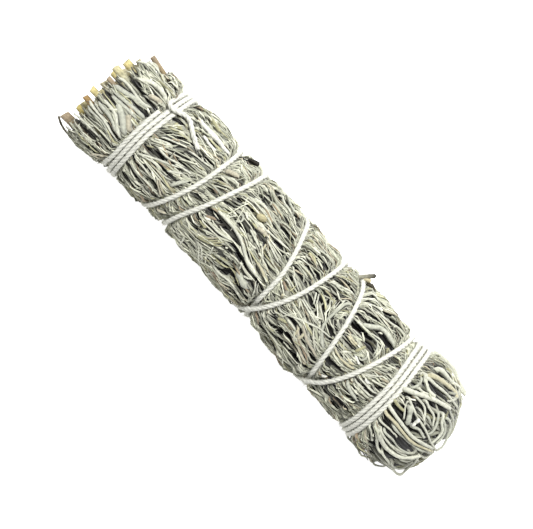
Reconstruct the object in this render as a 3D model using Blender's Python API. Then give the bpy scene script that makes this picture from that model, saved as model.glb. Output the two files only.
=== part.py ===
"""A small bunch of dried sage, 101 mm long, bound with one length of cotton string.

X runs from the cut stems to the folded tips, Y across the bunch and Z up. The dimensions below are in
millimetres, and each mesh is made in metres.
"""

import math
import random

import bmesh
import bpy
import numpy as np
from mathutils import Vector

# Driving dimensions in millimetres
MM = 0.001
AXIS_HEIGHT = 10.7
SQUASH = 0.96
CORE_DEPTH = 1.9
LEAF_THICKNESS = 0.8
LEAF_ROWS = 16
BUTT_LEAF_COUNT = 14
STRING_RADIUS = 0.5
CROSSING_DEPTH = 1.25
GAP = 0.3

# Outline from the cut end to the folded end: place along X, half width, middle
OUTLINE = (
    (-50.0, 11.6, 0.0),
    (-46.0, 12.0, 0.0),
    (-41.0, 11.7, 0.0),
    (-36.0, 11.3, -0.1),
    (-31.0, 11.6, 0.5),
    (-26.0, 11.5, 0.7),
    (-21.0, 10.9, 0.5),
    (-16.0, 11.2, 0.5),
    (-11.0, 11.4, 0.7),
    (-1.0, 11.5, 0.5),
    (4.0, 11.3, 0.5),
    (9.0, 11.4, 0.2),
    (14.0, 11.8, 0.1),
    (19.0, 11.9, 0.2),
    (24.0, 11.6, 0.2),
    (29.0, 11.6, 0.0),
    (33.0, 11.8, 0.1),
    (38.0, 12.5, 0.0),
    (42.0, 12.2, 0.0),
    (46.0, 11.2, -0.3),
    (49.0, 9.4, -0.8),
)

# Where the string lies along X at every 45 degrees of each turn, 90 degrees being the top
WINDS = (
    (-36.6, -36.6, -36.85, -36.75, -36.7, -29.0, -19.5, -10.5),
    (-2.6, 0.35, 2.85, 3.4, 4.0, 6.2, 8.9, 11.6),
    (14.2, 16.8, 19.15, 20.9, 21.9, 23.9, 26.6, 29.3),
    (31.3, 31.95, 33.0, 33.3, 33.0, 32.8, 32.8, 33.0),
    (33.0, 33.15, 34.1, 34.4, 34.1, 33.9, 33.9, 34.0),
    (34.15, 34.3, 35.2, 35.5, 35.2, 35.1, 33.2, 31.0),
    (30.0, 29.3, 27.4, 24.2, 19.7, 16.6, 14.3, 12.0),
    (10.0, 9.6, 8.1, 4.9, 1.0, -3.0, -6.6, -10.2),
    (-13.3, -14.1, -16.35, -19.3, -20.6, -20.7, -20.6, -20.5),
    (-20.5, -20.3, -21.05, -23.5, -26.2, -28.4, -30.8, -32.7),
    (-34.1, -34.3, -34.7, -34.55, -34.6, -34.5, -34.6, -34.9),
    (-35.2, -35.4, -35.8, -35.65, -35.7, -35.6, -35.7, -36.0),
    (-36.35, -36.5),
)
START_ANGLE = 66
WOUND_END = 4320 + 38

# The knot lies over the last turns, and its tail on the leaves: place along X, angle, lift
KNOT_AND_TAIL = (
    (-36.55, 45, 0.1),
    (-36.6, 50.5, 0.7),
    (-36.3, 55.0, 1.25),
    (-35.4, 56.8, 1.35),
    (-34.3, 56.0, 1.3),
    (-33.3, 53.2, 0.9),
    (-32.4, 51.0, 0.55),
    (-31.5, 52.0, 0.45),
    (-30.4, 55.5, 0.45),
    (-29.2, 60.0, 0.4),
    (-27.6, 64.5, 0.4),
    (-26.0, 68.8, 0.5),
)

# Cut stems: end along X, Y, height over the middle, diameter, lean in Y and Z per mm, length, colour
STEMS = (
    (-49.0, 3.9, 8.0, 1.6, -0.02, 0.05, 14.0, "straw"),
    (-48.7, 6.2, 6.0, 1.8, -0.03, 0.02, 13.0, "yellow"),
    (-48.4, 1.5, 8.9, 1.0, -0.03, 0.01, 10.0, "brown"),
    (-48.8, 0.2, 6.4, 1.6, 0.03, 0.04, 15.0, "tan"),
    (-49.1, -2.3, 8.2, 1.4, 0.02, 0.03, 13.0, "yellow"),
    (-49.1, -4.3, 6.7, 1.2, -0.04, 0.05, 12.0, "ochre"),
    (-48.5, -6.7, 7.0, 1.2, -0.03, 0.06, 8.2, "olive"),
    (-49.8, -9.8, 2.6, 1.9, 0.08, 0.03, 9.6, "brown"),
    (-46.4, 10.9, 1.5, 1.2, -0.16, 0.0, 6.0, "brown"),
    (-48.9, -5.2, 1.6, 2.2, 0.03, 0.0, 16.0, "straw"),
    (-49.3, 3.2, 2.2, 2.0, -0.02, 0.02, 16.0, "yellow"),
    (-48.8, -0.8, -3.0, 2.3, 0.02, 0.03, 17.0, "straw"),
    (-49.2, 4.9, -4.0, 1.8, 0.03, -0.03, 13.0, "tan"),
)

# Folded twigs on the upper side of the folded end: thickness, then X and Y of each bend
FOLDS = (
    (1.0, (34.6, 11.6), (37.2, 12.4), (39.4, 11.8), (42.0, 10.8)),
    (1.2, (38.2, 9.5), (42.1, 10.4), (45.8, 10.9)),
    (1.1, (38.2, 7.1), (41.6, 8.1), (44.6, 8.9)),
    (1.3, (35.8, 2.7), (39.8, 4.9), (45.2, 6.7)),
    (1.2, (40.2, 6.3), (44.2, 5.1), (47.4, 4.4), (49.6, 2.2), (49.5, -0.6), (47.2, -2.0), (42.2, -2.8)),
    (0.9, (37.3, 2.2), (44.7, 0.2), (49.3, -0.8)),
    (1.0, (41.2, 4.3), (45.4, 3.5), (47.2, 1.6), (45.6, -0.4), (42.2, -0.8)),
    (1.1, (36.5, -5.7), (41.6, -7.5), (45.4, -6.3), (47.4, -3.8), (44.8, -2.6)),
    (1.2, (39.4, -8.1), (44.0, -9.5), (48.1, -9.5), (48.6, -6.9), (47.2, -4.5)),
    (1.0, (38.6, -11.4), (42.4, -11.9), (45.2, -10.8)),
)

# A thin twig beside the cut stems: X, Y and height over the middle
BUTT_TWIG = (
    (-50.6, -10.9, 0.4),
    (-48.8, -11.7, 0.2),
    (-46.6, -11.9, 0.0),
    (-44.0, -11.0, 0.0),
    (-41.6, -8.8, 0.0),
)

# Leaves pressed flat underneath: start and end along X, Y
RESTING_LEAVES = (
    (-46.5, -37.9, 0.2),
    (-29.4, -22.0, 0.6),
    (-4.9, 7.2, 0.4),
    (16.0, 24.8, 0.2),
    (36.2, 43.6, 0.0),
)


# Places on the bunch
def half_width(x):
    return np.interp(x, [row[0] for row in OUTLINE], [row[1] for row in OUTLINE])


def middle(x):
    return np.interp(x, [row[0] for row in OUTLINE], [row[2] for row in OUTLINE])


def on_bunch(x, degrees, depth):
    """A point this deep under the outline, flattened where the bunch lies on its underside."""
    angle = math.radians(degrees)
    radius = half_width(x) - depth
    y = middle(x) + radius * math.cos(angle)
    z = AXIS_HEIGHT + SQUASH * radius * math.sin(angle)
    return np.array((x, y, max(z, 1.1 * depth - 0.45)))


def wind_place(turning):
    """Where the string lies along X after turning through these degrees, smooth through WINDS."""
    rows = np.concatenate(WINDS)
    at = turning / 45
    step = min(int(at), len(rows) - 2)
    t = at - step
    before, here, after = rows[max(step - 1, 0)], rows[step], rows[step + 1]
    beyond = rows[min(step + 2, len(rows) - 1)]
    leave = (after - before) / 2
    arrive = (beyond - here) / 2
    return (
        here * (1 + 2 * t) * (1 - t) ** 2
        + leave * t * (1 - t) ** 2
        + after * t * t * (3 - 2 * t)
        + arrive * t * t * (t - 1)
    )


def crossings():
    """Where a later turn crosses an earlier one: degrees turned by the earlier one, and half width."""
    found = []
    for first in range(12):
        for second in range(first + 1, 12):
            for degrees in range(0, 360, 3):
                here = first * 360 + degrees
                there = second * 360 + degrees
                if here < START_ANGLE:
                    continue
                apart = wind_place(here) - wind_place(there)
                after = wind_place(here + 3) - wind_place(there + 3)
                if apart * after <= 0:
                    width = 2.6 * 3 / max(abs(after - apart), 1e-6)
                    found.append((here + 1.5, min(max(width, 26), 48)))
    return found


def pressed_in(turning, over):
    """How far a turn is pushed in where later turns cross over it."""
    depth = 0.0
    for place, width in over:
        if abs(turning - place) < width:
            share = 1.5 * math.cos(math.pi / 2 * (turning - place) / width) ** 2
            depth = max(depth, CROSSING_DEPTH * min(share, 1.0))
    return depth


def string_route():
    over = crossings()
    route = []
    for turning in range(START_ANGLE, WOUND_END, 20):
        x = float(wind_place(turning))
        point = on_bunch(x, turning, STRING_RADIUS)
        point[2] = max(point[2], STRING_RADIUS + 0.02)
        inward = np.array((0.0, float(middle(x)) - point[1], AXIS_HEIGHT - point[2]))
        point += inward / np.linalg.norm(inward) * pressed_in(turning, over)
        route.append(point)
    for x, degrees, lift in KNOT_AND_TAIL:
        route.append(on_bunch(x, degrees, STRING_RADIUS - lift))
    return np.array(route)


# Meshes
def made(name, points, faces):
    mesh = bpy.data.meshes.new(name)
    mesh.from_pydata([tuple(point) for point in np.asarray(points) * MM], [], faces)
    shape = bmesh.new()
    shape.from_mesh(mesh)
    bmesh.ops.triangulate(shape, faces=shape.faces)
    bmesh.ops.recalc_face_normals(shape, faces=shape.faces)
    shape.to_mesh(mesh)
    shape.free()
    return bpy.data.objects.new(name, mesh)


def rings_joined(rings):
    """Faces between closed rings of points, with a face at each end."""
    count = len(rings[0])
    faces = []
    for row in range(len(rings) - 1):
        for column in range(count):
            beside = (column + 1) % count
            near = row * count
            far = near + count
            faces.append((near + column, near + beside, far + beside, far + column))
    faces.append(tuple(range(count)))
    faces.append(tuple(range((len(rings) - 1) * count, len(rings) * count)))
    return faces


def rod_rings(route, radii, sides):
    """Rings of points along a route, turned as little as possible from one to the next."""
    route = np.asarray(route, float)
    along = np.gradient(route, axis=0)
    along /= np.linalg.norm(along, axis=1)[:, None]
    side = np.cross(along[0], (0.31, 0.27, 0.91))
    rings = []
    for place, direction, radius in zip(route, along, radii):
        side = side - direction * np.dot(side, direction)
        side /= np.linalg.norm(side)
        other = np.cross(direction, side)
        turns = 2 * np.pi * np.arange(sides)[:, None] / sides
        rings.append(place + radius * (np.cos(turns) * side + np.sin(turns) * other))
    return rings


def rod(name, route, radii, sides):
    rings = rod_rings(route, radii, sides)
    return made(name, np.concatenate(rings), rings_joined(rings))


def blade(name, route, widths, thickness, out, roll):
    """A narrow leaf with a raised rib along its outer face. Its section is a low triangle."""
    route = np.asarray(route, float)
    along = np.gradient(route, axis=0)
    rings = []
    for place, direction, width, outward in zip(route, along, widths, out):
        direction = direction / np.linalg.norm(direction)
        side = np.cross(outward, direction)
        side /= np.linalg.norm(side)
        up = np.cross(direction, side)
        edge = (math.cos(roll) * side + math.sin(roll) * up) * width / 2
        rib = (math.cos(roll) * up - math.sin(roll) * side) * thickness / 2
        rings.append(np.array((place + edge - rib, place + rib, place - edge - rib)))
    return made(name, np.concatenate(rings), rings_joined(rings))


# Leaves and folded twigs
def core():
    """The pressed inside of the bunch, which every leaf grows out of."""
    places = [-47.6, -46.0, -42.5]
    places += list(np.linspace(-38.0, 38.0, 16))
    places += [42.0, 44.6, 46.4]
    shrink = {-47.6: 2.6, -46.0: 0.7, -42.5: 0.3, 42.0: 0.7, 44.6: 2.5, 46.4: 5.2}
    rings = []
    for row, x in enumerate(places):
        ring = []
        for column in range(16):
            lump = 0.16 * math.sin(1.7 * row + 2.3 * column) + 0.1 * math.sin(2.9 * column - row)
            depth = CORE_DEPTH + shrink.get(x, 0.0) + lump
            ring.append(on_bunch(x, 22.5 * column + 4 * math.sin(row), depth))
        rings.append(np.array(ring))
    return made("leaf_bunch", np.concatenate(rings), rings_joined(rings))


def leaf(number, start, end, degrees, rng):
    """A leaf that arches out of the core and dips back in, or ends free over the next one."""
    length = end - start
    rise = min(rng.uniform(1.15, 1.5), 0.32 * length)
    free = rng.random() < 0.3 and length > 7
    heights = (-0.85, 0.8 * rise, rise, 0.85 * rise if free else -0.85)
    steps = (0.0, 0.3, 0.7, 1.0)
    if length < 7:
        heights = (-0.85, rise, -0.85)
        steps = (0.0, 0.5, 1.0)
    elif rng.random() < 0.5:
        heights = heights[::-1]
        steps = tuple(1 - step for step in steps[::-1])
    width = rng.uniform(2.4, 3.6)
    slope = min(max(rng.gauss(0.0, 0.1), -0.2), 0.2)
    degrees += rng.gauss(0.0, 1.6)
    route = []
    out = []
    for step, height in zip(steps, heights):
        place = start + length * step
        turned = degrees + math.degrees((step - 0.5) * length * slope / 11.0)
        route.append(on_bunch(place, turned, CORE_DEPTH - height))
        out.append((0.0, math.cos(math.radians(turned)), math.sin(math.radians(turned))))
    widths = [width] * len(route)
    widths[0] *= rng.uniform(0.5, 0.9)
    widths[-1] *= rng.uniform(0.4, 0.7)
    return blade(f"leaf_{number}", route, widths, LEAF_THICKNESS, out, rng.gauss(0.0, 0.18))


def bays(degrees):
    """The stretches along X between neighbouring strands, for a leaf row at this angle."""
    left = [-48.3]
    right = []
    for turn in range(12):
        across = [float(wind_place(360 * turn + degrees + aside)) for aside in (-7, 0, 7)]
        left.append(max(across) + 0.6)
        right.append(min(across) - 0.6)
    return zip(sorted(left), sorted(right) + [45.8])


def leaves(rng):
    """Leaves laid end to end in rows along the bunch, stopping short of each strand of string."""
    found = []
    for row in range(LEAF_ROWS):
        degrees = 360 * (row + 0.5) / LEAF_ROWS
        for low, high in bays(degrees):
            if high - low < 2.4:
                continue
            count = max(round((high - low) / 12.5), 1)
            cuts = [low + (high - low) * step / count for step in range(count + 1)]
            cuts[1:-1] = [cut + rng.uniform(-1.2, 1.2) for cut in cuts[1:-1]]
            for start, end in zip(cuts[:-1], cuts[1:]):
                found.append(leaf(len(found), start, end, degrees, rng))
    return found


def butt_leaves(rng):
    """Leaves that stand out between the cut stems, nearly in line with them."""
    found = []
    for number in range(BUTT_LEAF_COUNT):
        degrees = 360 * ((number * 0.6180339887) % 1)
        depth = rng.uniform(0.5, 4.5)
        far = rng.uniform(-49.0, -47.8)
        route = [
            on_bunch(-42.0, degrees, depth + 1.6),
            on_bunch(-45.5, degrees + rng.gauss(0, 3), depth + 0.4),
            on_bunch(far, degrees + rng.gauss(0, 4), depth),
        ]
        out = [(0.0, math.cos(math.radians(degrees)), math.sin(math.radians(degrees)))] * 3
        width = rng.uniform(1.4, 2.3)
        widths = (width, width, width * 0.5)
        found.append(blade(f"butt_leaf_{number}", route, widths, LEAF_THICKNESS, out, rng.gauss(0.0, 0.4)))
    return found


def butt_twig():
    route = [(x, y, AXIS_HEIGHT + height) for x, y, height in BUTT_TWIG]
    return rod("butt_twig", route, (0.38, 0.4, 0.42, 0.45, 0.45), 5)


def resting_leaves():
    """Broad leaves pressed flat under the bunch, which it lies on."""
    found = []
    for number, (start, end, y) in enumerate(RESTING_LEAVES):
        places = np.linspace(start, end, 4)
        route = [(x, y, 0.1) for x in places]
        widths = (2.6, 4.6, 4.8, 2.4)
        out = [(0.0, 0.0, 1.0)] * 4
        found.append(blade(f"resting_leaf_{number}", route, widths, 2.4, out, 0.0))
    return found


def folded_twigs():
    """Twigs that come out of the folded end, bend round and run back into it."""
    found = []
    for number, (thickness, *bends) in enumerate(FOLDS):
        route = []
        for x, y in bends:
            reach = half_width(x) * float(np.interp(x, (38.0, 46.0, 50.5), (0.97, 0.86, 0.62)))
            beside = min(abs(y - middle(x)) / reach, 1.0)
            route.append((x, y, AXIS_HEIGHT + SQUASH * reach * math.sqrt(1 - beside**2)))
        first = np.array(route[0])
        last = np.array(route[-1])
        route.insert(0, sunk(first))
        if last[0] < 45.5:
            route.append(sunk(last))
        radii = [thickness / 2] * len(route)
        found.append(rod(f"fold_{number}", route, radii, 4))
    return found


def sunk(point):
    """A root for this point, inside the core."""
    middle_point = np.array((point[0] - 2.6, middle(point[0]), AXIS_HEIGHT))
    inward = middle_point - point
    return point + inward * (4.2 / np.linalg.norm(inward))


def under_folds(rng):
    """Folded twigs round the sides, the underside and the middle of the folded end."""
    found = []
    places = [(degrees, 0.0) for degrees in (174, 203, 231, 259, 287, 315, 341)]
    places += [(20, 4.6), (95, 4.2), (165, 4.8), (235, 4.4), (300, 4.6), (60, 7.6)]
    for degrees, inner in places:
        wide = rng.uniform(9, 16) * (1 + 0.14 * inner)
        far = rng.uniform(47.6, 49.2) + 0.12 * inner
        route = [
            on_bunch(39.0 + 0.7 * inner, degrees - wide, 3.6 + inner),
            on_bunch(43.4 + 0.4 * inner, degrees - wide, 1.3 + inner),
            on_bunch(far - 0.6, degrees - 0.5 * wide, 1.0 + inner),
            on_bunch(far - 0.2, degrees + 0.5 * wide, 1.5 + inner),
            on_bunch(42.6 + 0.4 * inner, degrees + wide, 2.2 + inner),
            on_bunch(39.5 + 0.7 * inner, degrees + wide, 4.2 + inner),
        ]
        found.append(rod(f"under_fold_{len(found)}", route, [rng.uniform(0.55, 0.68)] * 6, 4))
    return found


# Stems, string and small bits
def stem_route(row, before, beyond):
    x, y, z, diameter, lean_y, lean_z, length, colour = row
    end = np.array((x, y, AXIS_HEIGHT + z))
    direction = np.array((1.0, lean_y, -lean_z))
    places = np.linspace(-beyond, length + before, 2)
    return [end + direction * place for place in places]


def stems():
    found = []
    for number, row in enumerate(STEMS):
        radius = row[3] / 2
        radii = (radius, radius * 0.85)
        found.append(rod(f"stem_{number + 1:02d}", stem_route(row, 0.0, 0.0), radii, 8))
    return found


def seed_route(longer):
    return [(-18.8 - longer, 11.5, 12.2), (-17.6, 11.9, 12.4), (-16.0 + longer, 11.8, 12.3)]


def bud_route(longer):
    return [(-8.9 - longer, 4.6, 21.2), (-8.0, 4.9, 21.3), (-6.8 + longer, 5.2, 21.0)]


def twig_stub_route(longer):
    return [(12.9 - longer, 10.0, 12.6), (14.6, 12.3, 13.0), (16.1 + longer, 14.1, 13.4)]


def bits():
    return [
        rod("seed", seed_route(0.0), (0.22, 0.6, 0.16), 8),
        rod("bud", bud_route(0.0), (0.35, 0.7, 0.4), 8),
        rod("twig_stub", twig_stub_route(0.0), (0.45, 0.45, 0.4), 8),
    ]


# Cutters
def clearances():
    """Room for the string, the stems and the small bits, and the surface that the bunch lies on."""
    found = []
    route = string_route()
    rings = rod_rings(route, [STRING_RADIUS + GAP] * len(route), 6)
    for first in range(0, len(rings) - 2, 8):
        part = rings[first : first + 10]
        found.append(made(f"string_room_{first}", np.concatenate(part), rings_joined(part)))
    for number, row in enumerate(STEMS):
        room = row[3] / 2 + GAP
        path = stem_route(row, GAP, 1.5)
        found.append(rod(f"stem_room_{number}", path, [room] * 2, 7))
    found.append(rod("seed_room", seed_route(0.4), (0.7, 1.0, 0.6), 8))
    found.append(rod("bud_room", bud_route(0.4), (0.8, 1.1, 0.9), 8))
    found.append(rod("stub_room", twig_stub_route(0.4), (0.85, 0.85, 0.8), 8))
    corners = [(x, y, z) for x in (-70, 70) for y in (-30, 30) for z in (-10, 0)]
    sides = [(0, 1, 3, 2), (4, 6, 7, 5), (0, 4, 5, 1), (2, 3, 7, 6), (0, 2, 6, 4), (1, 5, 7, 3)]
    found.append(made("rest", corners, sides))
    return found


# Joining and cutting
def combined(shape, others, operation):
    """Joins the shape with all the others, or cuts them out of it, and removes the others."""
    group = bpy.data.collections.new(operation.lower())
    bpy.context.scene.collection.children.link(group)
    for other in others:
        other.hide_render = True
        other.display_type = "WIRE"
        group.objects.link(other)
    modifier = shape.modifiers.new(operation.title(), "BOOLEAN")
    modifier.operation = operation
    modifier.operand_type = "COLLECTION"
    modifier.collection = group
    modifier.solver = "MANIFOLD"
    graph = bpy.context.evaluated_depsgraph_get()
    result = bpy.data.meshes.new_from_object(shape.evaluated_get(graph))
    shape.modifiers.clear()
    shape.data = result
    for other in others:
        bpy.data.objects.remove(other)
    bpy.data.collections.remove(group)


def largest_piece(shape):
    """Keeps the body of the shape, without loose scraps and sealed hollows."""
    mesh = bmesh.new()
    mesh.from_mesh(shape.data)
    left = set(mesh.verts)
    pieces = []
    while left:
        front = [left.pop()]
        piece = set(front)
        while front:
            vertex = front.pop()
            for edge in vertex.link_edges:
                other = edge.other_vert(vertex)
                if other in left:
                    left.remove(other)
                    piece.add(other)
                    front.append(other)
        pieces.append(piece)
    pieces.sort(key=len)
    scraps = [vertex for piece in pieces[:-1] for vertex in piece]
    bmesh.ops.delete(mesh, geom=scraps, context="VERTS")
    bmesh.ops.triangulate(mesh, faces=mesh.faces)
    mesh.to_mesh(shape.data)
    mesh.free()


# Materials
def material(name, colour, roughness):
    made_material = bpy.data.materials.new(name)
    made_material.use_nodes = True
    surface = made_material.node_tree.nodes["Principled BSDF"]
    surface.inputs["Base Color"].default_value = (*colour, 1.0)
    surface.inputs["Roughness"].default_value = roughness
    return made_material


STEM_COLOURS = {
    "straw": (0.62, 0.55, 0.33),
    "yellow": (0.66, 0.49, 0.18),
    "brown": (0.36, 0.22, 0.14),
    "tan": (0.55, 0.43, 0.27),
    "ochre": (0.52, 0.29, 0.08),
    "olive": (0.36, 0.33, 0.12),
}


def finished(shape, colour, roughness, smooth):
    shape.data.materials.clear()
    shape.data.materials.append(material(shape.name + "_surface", colour, roughness))
    shape.data.polygons.foreach_set("use_smooth", [smooth] * len(shape.data.polygons))
    bpy.context.scene.collection.objects.link(shape)


def centred():
    """Moves every mesh so that the origin is under the middle of the whole."""
    shapes = list(bpy.context.scene.collection.objects)
    corners = np.array([vertex.co for shape in shapes for vertex in shape.data.vertices])
    move = -(corners.min(axis=0) + corners.max(axis=0)) / 2
    move[2] = -corners[:, 2].min()
    for shape in shapes:
        for vertex in shape.data.vertices:
            vertex.co += Vector(move)


def main():
    for item in list(bpy.data.objects):
        bpy.data.objects.remove(item)
    bunch = core()
    finished(bunch, (0.38, 0.4, 0.3), 0.9, False)
    grown = leaves(random.Random(5)) + butt_leaves(random.Random(8))
    grown += [butt_twig()] + resting_leaves() + folded_twigs() + under_folds(random.Random(3))
    combined(bunch, grown, "UNION")
    combined(bunch, clearances(), "DIFFERENCE")
    largest_piece(bunch)
    for row, stem in zip(STEMS, stems()):
        finished(stem, STEM_COLOURS[row[7]], 0.75, False)
    route = string_route()
    string = rod("string", route, [STRING_RADIUS] * len(route), 6)
    finished(string, (0.8, 0.78, 0.7), 0.85, True)
    colours = ((0.03, 0.025, 0.02), (0.5, 0.33, 0.1), (0.2, 0.16, 0.11))
    for bit, colour in zip(bits(), colours):
        finished(bit, colour, 0.7, True)
    centred()


main()
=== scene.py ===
"""The looks of a small bunch of dried sage, bound with one cotton string and lying on a white table.

Lengths are in millimetres along the bunch (x, from the cut stems to the folded tips), across it (y) and
up (z). An angle round the bunch is in degrees, with 90 at the top, and a depth is measured in from the
outline. Each mesh is moved to the frame's place and made in metres.
"""

import math

import bpy
import numpy as np
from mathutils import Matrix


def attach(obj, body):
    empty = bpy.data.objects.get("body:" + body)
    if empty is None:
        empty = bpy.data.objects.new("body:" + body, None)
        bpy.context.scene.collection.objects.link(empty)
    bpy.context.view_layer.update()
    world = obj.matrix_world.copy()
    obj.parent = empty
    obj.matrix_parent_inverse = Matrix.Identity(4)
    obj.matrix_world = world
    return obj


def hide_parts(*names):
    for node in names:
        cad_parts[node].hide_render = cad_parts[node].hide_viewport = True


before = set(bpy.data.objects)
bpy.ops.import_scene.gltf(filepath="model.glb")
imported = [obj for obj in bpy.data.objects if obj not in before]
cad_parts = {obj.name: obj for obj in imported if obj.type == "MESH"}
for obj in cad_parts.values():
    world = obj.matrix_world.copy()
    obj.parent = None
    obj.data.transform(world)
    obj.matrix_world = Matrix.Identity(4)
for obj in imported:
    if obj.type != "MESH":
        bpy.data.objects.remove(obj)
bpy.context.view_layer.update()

# The string is one length of soft white cotton of three plies. It is wound from the cut end to the
# folded end and back with crossings on the way, and it is tied near the cut end. The finish is matt,
# slightly warm white, with the fibres of each ply showing as a fine grain.
MM = 0.001
FRAME_SHIFT = (0.2953, -0.9812, 0.0)
AXIS_HEIGHT = 10.7
SQUASH = 0.96
OUTLINE = (  # x, then half the width and the middle there
    (-50.0, 11.6, 0.0), (-46.0, 12.0, 0.0), (-41.0, 11.7, 0.0), (-36.0, 11.3, -0.1), (-31.0, 11.6, 0.5),
    (-26.0, 11.5, 0.7), (-21.0, 10.9, 0.5), (-16.0, 11.2, 0.5), (-11.0, 11.4, 0.7), (-1.0, 11.5, 0.5),
    (4.0, 11.3, 0.5), (9.0, 11.4, 0.2), (14.0, 11.8, 0.1), (19.0, 11.9, 0.2), (24.0, 11.6, 0.2),
    (29.0, 11.6, 0.0), (33.0, 11.8, 0.1), (38.0, 12.5, 0.0), (42.0, 12.2, 0.0), (46.0, 11.2, -0.3),
    (49.0, 9.4, -0.8),
)
WINDS = (  # x at every 45 degrees of each turn
    (-36.6, -36.6, -36.85, -36.75, -36.7, -29.0, -19.5, -10.5),
    (-2.6, 0.35, 2.85, 3.4, 4.0, 6.2, 8.9, 11.6),
    (14.2, 16.8, 19.15, 20.9, 21.9, 23.9, 26.6, 29.3),
    (31.3, 31.95, 33.0, 33.3, 33.0, 32.8, 32.8, 33.0),
    (33.0, 33.15, 34.1, 34.4, 34.1, 33.9, 33.9, 34.0),
    (34.15, 34.3, 35.2, 35.5, 35.2, 35.1, 33.2, 31.0),
    (30.0, 29.3, 27.4, 24.2, 19.7, 16.6, 14.3, 12.0),
    (10.0, 9.6, 8.1, 4.9, 1.0, -3.0, -6.6, -10.2),
    (-13.3, -14.1, -16.35, -19.3, -20.6, -20.7, -20.6, -20.5),
    (-20.5, -20.3, -21.05, -23.5, -26.2, -28.4, -30.8, -32.7),
    (-34.1, -34.3, -34.7, -34.55, -34.6, -34.5, -34.6, -34.9),
    (-35.2, -35.4, -35.8, -35.65, -35.7, -35.6, -35.7, -36.0),
    (-36.35, -36.5),
)
START_ANGLE = 66
WOUND_END = 4350
TURNS = 12
KNOT_AND_TAIL = (  # x, angle, lift off the bunch
    (-36.55, 45, 0.1), (-36.6, 50.5, 0.7), (-36.3, 55.0, 1.25), (-35.4, 56.8, 1.35), (-34.3, 56.0, 1.3),
    (-33.3, 53.2, 0.9), (-32.4, 51.0, 0.55), (-31.5, 52.0, 0.45), (-30.4, 55.5, 0.45), (-29.2, 60.0, 0.4),
    (-27.6, 64.5, 0.4), (-26.0, 68.8, 0.5),
)
STRING_RADIUS = 0.5
CROSSING_DEPTH = 1.25
PLY_RADIUS = 0.31
PLY_OFFSET = 0.2
PLY_PITCH = 3.6


def bunch_half_width(x):
    """Half the bunch's width at x, in straight lines from row to row of OUTLINE."""
    return np.interp(x, [row[0] for row in OUTLINE], [row[1] for row in OUTLINE])


def bunch_middle(x):
    """y of the bunch's middle at x, read from OUTLINE in the same way."""
    return np.interp(x, [row[0] for row in OUTLINE], [row[2] for row in OUTLINE])


def on_bunch(x, angle, depth, share=1.0):
    """Points under the outline: y is the middle plus (half width - depth) times the angle's cosine, and z is
    the axis height plus the same radius, flattened, times its sine. share draws the radius in at the folded
    end, and none is lower than the table allows."""
    x, angle, depth = np.broadcast_arrays(x, np.radians(angle), depth)
    radius = (bunch_half_width(x) - depth) * share
    y = bunch_middle(x) + radius * np.cos(angle)
    z = AXIS_HEIGHT + SQUASH * radius * np.sin(angle)
    return np.stack([x, y, np.maximum(z, 0.9 * np.clip(depth, 0.2, None) + 0.03)], -1)


def cubic(points, at):
    """A cubic through the points, read at these places, which count from point to point. Its slope at each
    point is half the difference of its neighbours."""
    points = np.asarray(points, float)
    slopes = np.gradient(points, axis=0)
    step = np.clip(at.astype(int), 0, len(points) - 2)
    t = (at - step).reshape(-1, *[1] * (points.ndim - 1))
    return (
        points[step] * (1 + 2 * t) * (1 - t) ** 2
        + slopes[step] * t * (1 - t) ** 2
        + points[step + 1] * t * t * (3 - 2 * t)
        + slopes[step + 1] * t * t * (t - 1)
    )


def wind_place(turning):
    """x of the string after turning this far."""
    return cubic(np.concatenate(WINDS), turning / 45)


def smooth_through(points, count):
    """This many places, evenly spread over a cubic through the points."""
    return cubic(points, np.linspace(0, len(points) - 1, count))


def pressed_in(turning):
    """How far each place of the winding is pushed in by turns that cross over it: a hump of the squared cosine
    round each crossing, cut off at the full depth."""
    depth = np.zeros(len(turning))
    angle = np.arange(0, 360, 3)
    for first in range(TURNS):
        for second in range(first + 1, TURNS):
            here = first * 360 + angle
            apart = wind_place(here) - wind_place(second * 360 + angle)
            after = wind_place(here + 3) - wind_place(second * 360 + angle + 3)
            crossed = (apart * after <= 0) & (here >= START_ANGLE)
            widths = np.clip(7.8 / np.maximum(np.abs(after - apart), 1e-6), 26, 48)
            for place, width in zip(here[crossed] + 1.5, widths[crossed]):
                near = np.clip((turning - place) / width, -1, 1)
                share = 1.5 * np.cos(near * np.pi / 2) ** 2
                depth = np.maximum(depth, CROSSING_DEPTH * np.minimum(share, 1))
    return depth


def unit(vectors):
    """The vectors at a length of 1."""
    return vectors / np.maximum(np.linalg.norm(vectors, axis=-1, keepdims=True), 1e-9)


def outward_of(path):
    """The direction away from the bunch's axis, or away from a point on it inside the folded end."""
    x = path[..., 0]
    return unit(path - np.stack([np.minimum(x, 42.0), bunch_middle(x), 0 * x + AXIS_HEIGHT], -1))


def crosswise(path, outward):
    """Unit vectors at each place of each path: along it, across it, and square to both on the outward side."""
    along = unit(np.gradient(path, axis=1))
    across = unit(np.cross(outward, along))
    return along, across, np.cross(along, across)


def ring_round(corners, across, out):
    """The directions from each place of each path to this many corners evenly round it."""
    turn = 2 * np.pi * np.arange(corners) / corners
    return np.cos(turn)[:, None] * across[:, :, None] + np.sin(turn)[:, None] * out[:, :, None]


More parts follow.
